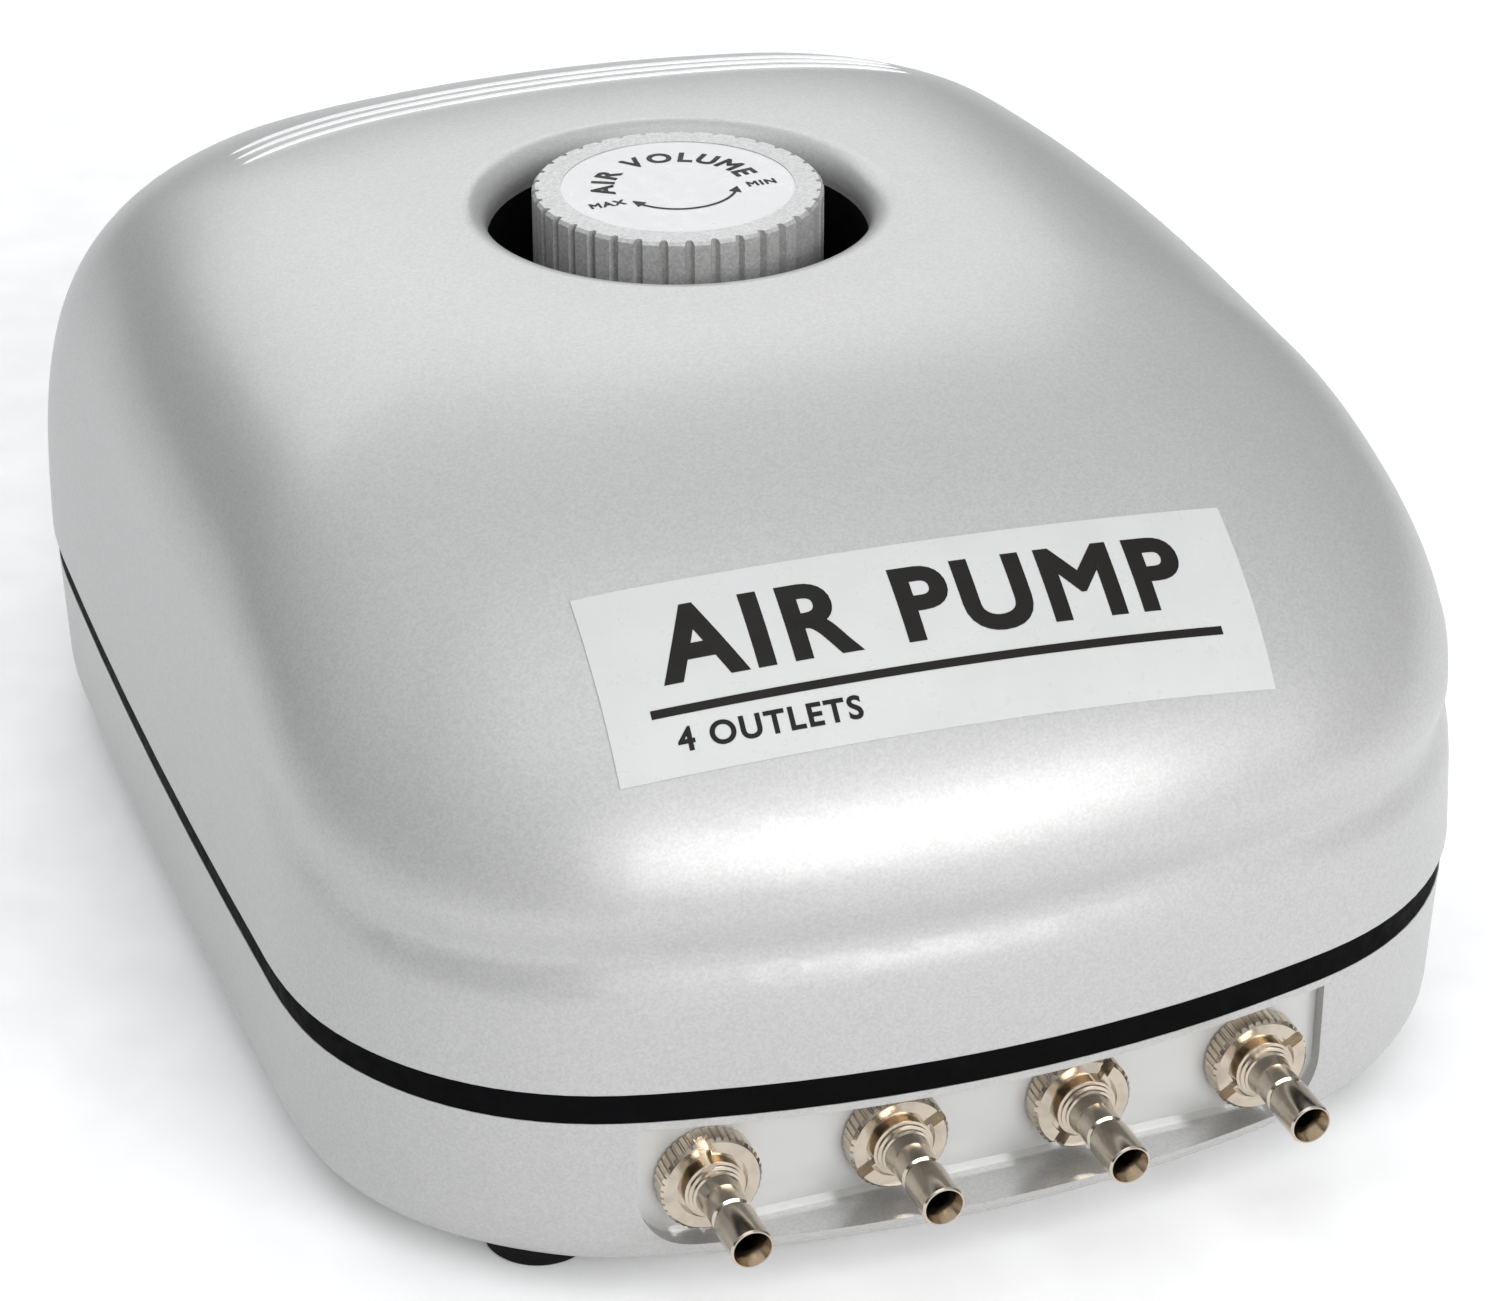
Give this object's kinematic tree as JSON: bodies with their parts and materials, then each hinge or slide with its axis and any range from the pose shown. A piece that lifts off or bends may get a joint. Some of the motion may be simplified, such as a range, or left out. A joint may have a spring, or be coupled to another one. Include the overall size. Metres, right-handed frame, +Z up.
{
  "type": "diaphragm air pump",
  "caption": "Low rounded two-part pump casing on rubber feet, with barbed air outlets in front and a ribbed air-control knob sunk in the top.",
  "frame": {"origin": "bottom centre of the bounding box, on the surface the feet stand on", "axes": "+X to the right seen from the outlets, +Y to the rear, away from the outlets, +Z up"},
  "size_m": [0.148, 0.2082, 0.0887],
  "materials": {
    "shell_paint": "silver metallic lacquer over moulded plastic",
    "gasket_rubber": "matt foam rubber",
    "foot_rubber": "matt rubber",
    "knob_paint": "silver lacquer, ribbed",
    "disc_film": "printed film",
    "label_film": "printed film with a satin face",
    "nickel": "nickel plate on turned brass",
    "well_plastic": "black moulded plastic",
    "inner_plastic": "moulded plastic",
    "steel": "zinc-plated steel",
    "copper": "enamelled copper wire",
    "magnet_ferrite": "sintered magnet",
    "arm_alloy": "pressed aluminium",
    "bush_plastic": "acetal",
    "diaphragm_rubber": "nitrile rubber",
    "hose_silicone": "silicone hose",
    "felt": "needled felt",
    "board_laminate": "glass-epoxy laminate"
  },
  "bodies": {
    "housing": {"air_manifold": "inner_plastic", "board_parts": "inner_plastic", "case_screws": "steel", "chassis": "inner_plastic", "chassis_isolators": "foot_rubber", "coil_bobbin": "inner_plastic", "coil_leads": "copper", "coil_winding": "copper", "control_board": "board_laminate", "control_pot": "steel", "control_well": "well_plastic", "cord_grommet": "foot_rubber", "core_screws": "steel", "felt_filter": "felt", "filter_cover": "inner_plastic", "foot_front_left": "foot_rubber", "foot_front_right": "foot_rubber", "foot_rear_left": "foot_rubber", "foot_rear_right": "foot_rubber", "front_label": "label_film", "left_air_hose": "hose_silicone", "left_clamp_ring": "inner_plastic", "left_diaphragm": "diaphragm_rubber", "left_pivot_pin": "steel", "left_valve_body": "inner_plastic", "left_valve_cover": "inner_plastic", "left_valve_flaps": "diaphragm_rubber", "lower_shell": "shell_paint", "outlet_nipple_1": "nickel", "outlet_nipple_2": "nickel", "outlet_nipple_3": "nickel", "outlet_nipple_4": "nickel", "outlet_nut_1": "nickel", "outlet_nut_2": "nickel", "outlet_nut_3": "nickel", "outlet_nut_4": "nickel", "pot_nut": "steel", "right_air_hose": "hose_silicone", "right_clamp_ring": "inner_plastic", "right_diaphragm": "diaphragm_rubber", "right_pivot_pin": "steel", "right_valve_body": "inner_plastic", "right_valve_cover": "inner_plastic", "right_valve_flaps": "diaphragm_rubber", "seam_gasket": "gasket_rubber", "stator_core": "steel", "upper_shell": "shell_paint"},
    "control_knob": {"knob": "knob_paint", "knob_label": "disc_film", "pot_shaft": "steel"},
    "left_arm": {"left_swing_arm": "arm_alloy", "left_magnet": "magnet_ferrite", "left_pivot_bush": "bush_plastic", "left_diaphragm_screw": "steel"},
    "right_arm": {"right_swing_arm": "arm_alloy", "right_magnet": "magnet_ferrite", "right_pivot_bush": "bush_plastic", "right_diaphragm_screw": "steel"}
  },
  "joints": [
    {"name": "knob_turn", "type": "hinge", "parent": "housing", "child": "control_knob", "pos_m": [0, 0.0136, 0.08], "axis": [0, 0, 1], "range_deg": [-140, 140]},
    {"name": "left_arm_swing", "type": "hinge", "parent": "housing", "child": "left_arm", "pos_m": [-0.0405, 0.0521, 0.03], "axis": [0, 0, 1], "range_deg": [-1.2, 1.2], "stiffness_Nm_per_rad": 20, "deforming": ["left_diaphragm"]},
    {"name": "right_arm_swing", "type": "hinge", "parent": "housing", "child": "right_arm", "pos_m": [0.0405, 0.0521, 0.03], "axis": [0, 0, 1], "range_deg": [-1.2, 1.2], "stiffness_Nm_per_rad": 20, "deforming": ["right_diaphragm"]}
  ],
  "couplings": [
    {"joint": "right_arm_swing", "follows": "left_arm_swing", "ratio": -1}
  ]
}
